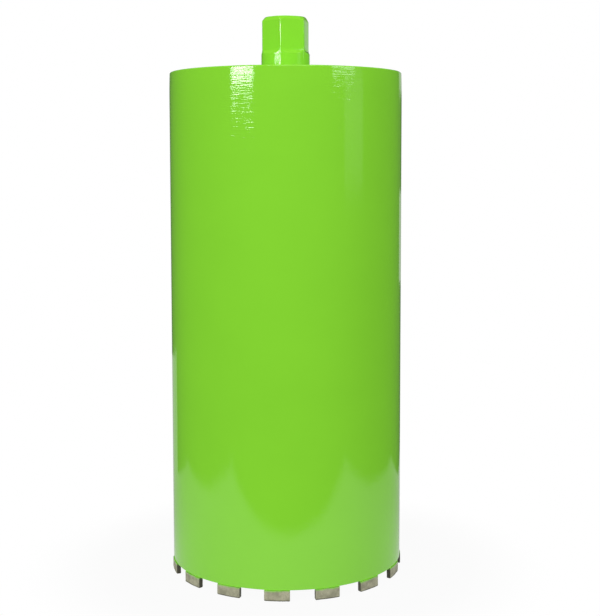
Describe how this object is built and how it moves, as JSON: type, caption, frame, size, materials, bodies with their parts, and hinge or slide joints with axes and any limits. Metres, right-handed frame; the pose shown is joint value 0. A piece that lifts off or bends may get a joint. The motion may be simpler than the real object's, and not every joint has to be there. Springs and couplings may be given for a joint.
{
  "type": "diamond core bit",
  "caption": "Wet core drill bit: steel barrel with sintered cutting segments on its lower rim and a welded top with a threaded hub.",
  "frame": {"origin": "on the axis, in the plane of the cutting faces that the bit stands on", "axes": "+Z along the axis from the cutting faces to the hub; +X to the right and +Y away in the picture's view"},
  "size_m": [0.2247, 0.225, 0.5335],
  "materials": {
    "paint": "gloss lime green paint over turned steel",
    "segment": "matte sintered metal with diamond grit",
    "bare_steel": "bare machined steel"
  },
  "bodies": {
    "root": {"barrel": "paint", "end_plate": "paint", "hub": "paint", "hub_weld": "paint", "plate_weld": "paint", "segment_01": "segment", "segment_02": "segment", "segment_03": "segment", "segment_04": "segment", "segment_05": "segment", "segment_06": "segment", "segment_07": "segment", "segment_08": "segment", "segment_09": "segment", "segment_10": "segment", "segment_11": "segment", "segment_12": "segment", "segment_13": "segment", "segment_14": "segment", "segment_15": "segment"}
  },
  "joints": []
}
